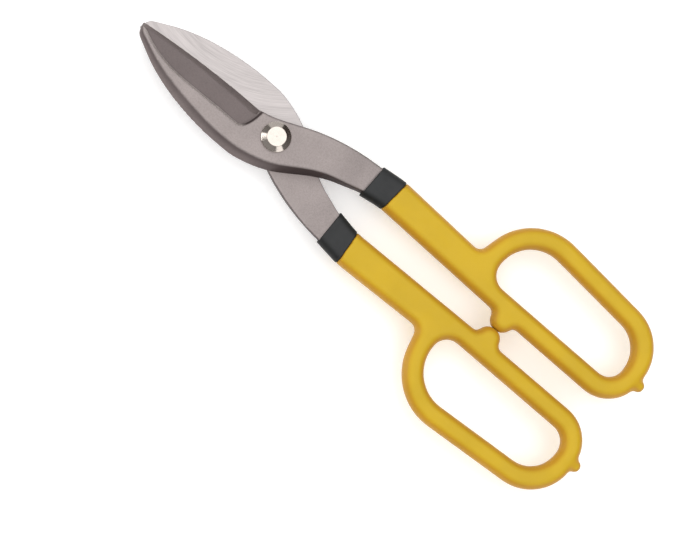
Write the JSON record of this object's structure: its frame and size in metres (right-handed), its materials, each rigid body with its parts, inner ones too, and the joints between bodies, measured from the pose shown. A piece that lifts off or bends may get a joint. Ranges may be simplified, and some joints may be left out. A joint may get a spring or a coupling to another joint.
{
  "type": "tinner's snips",
  "caption": "Straight-pattern sheet-metal snips: two forged halves on a pivot bolt, with closed finger loops and dipped vinyl grips.",
  "frame": {"origin": "on the pivot axis, at the back end of the pivot bolt, flush with the nut", "axes": "+X towards the blade tips, +Z along the pivot axis towards the bolt's head, the front half's handle on the -Y side"},
  "size_m": [0.3032, 0.1156, 0.0253],
  "materials": {
    "forged_steel": "shot-blasted forging with ground inner faces",
    "collar_vinyl": "matte dipped vinyl",
    "grip_vinyl": "satin dipped vinyl",
    "polished_steel": "polished",
    "plated_steel": "zinc plated"
  },
  "bodies": {
    "back": {"back_half": "forged_steel", "back_collar": "collar_vinyl", "back_grip": "grip_vinyl", "pivot_bolt": "polished_steel", "lock_washer": "plated_steel", "pivot_nut": "plated_steel"},
    "front": {"front_half": "forged_steel", "front_collar": "collar_vinyl", "front_grip": "grip_vinyl"}
  },
  "joints": [
    {"name": "pivot", "type": "hinge", "parent": "back", "child": "front", "pos_m": [0, 0, 0.0146], "axis": [0, 0, 1], "range_deg": [0, 40]}
  ]
}
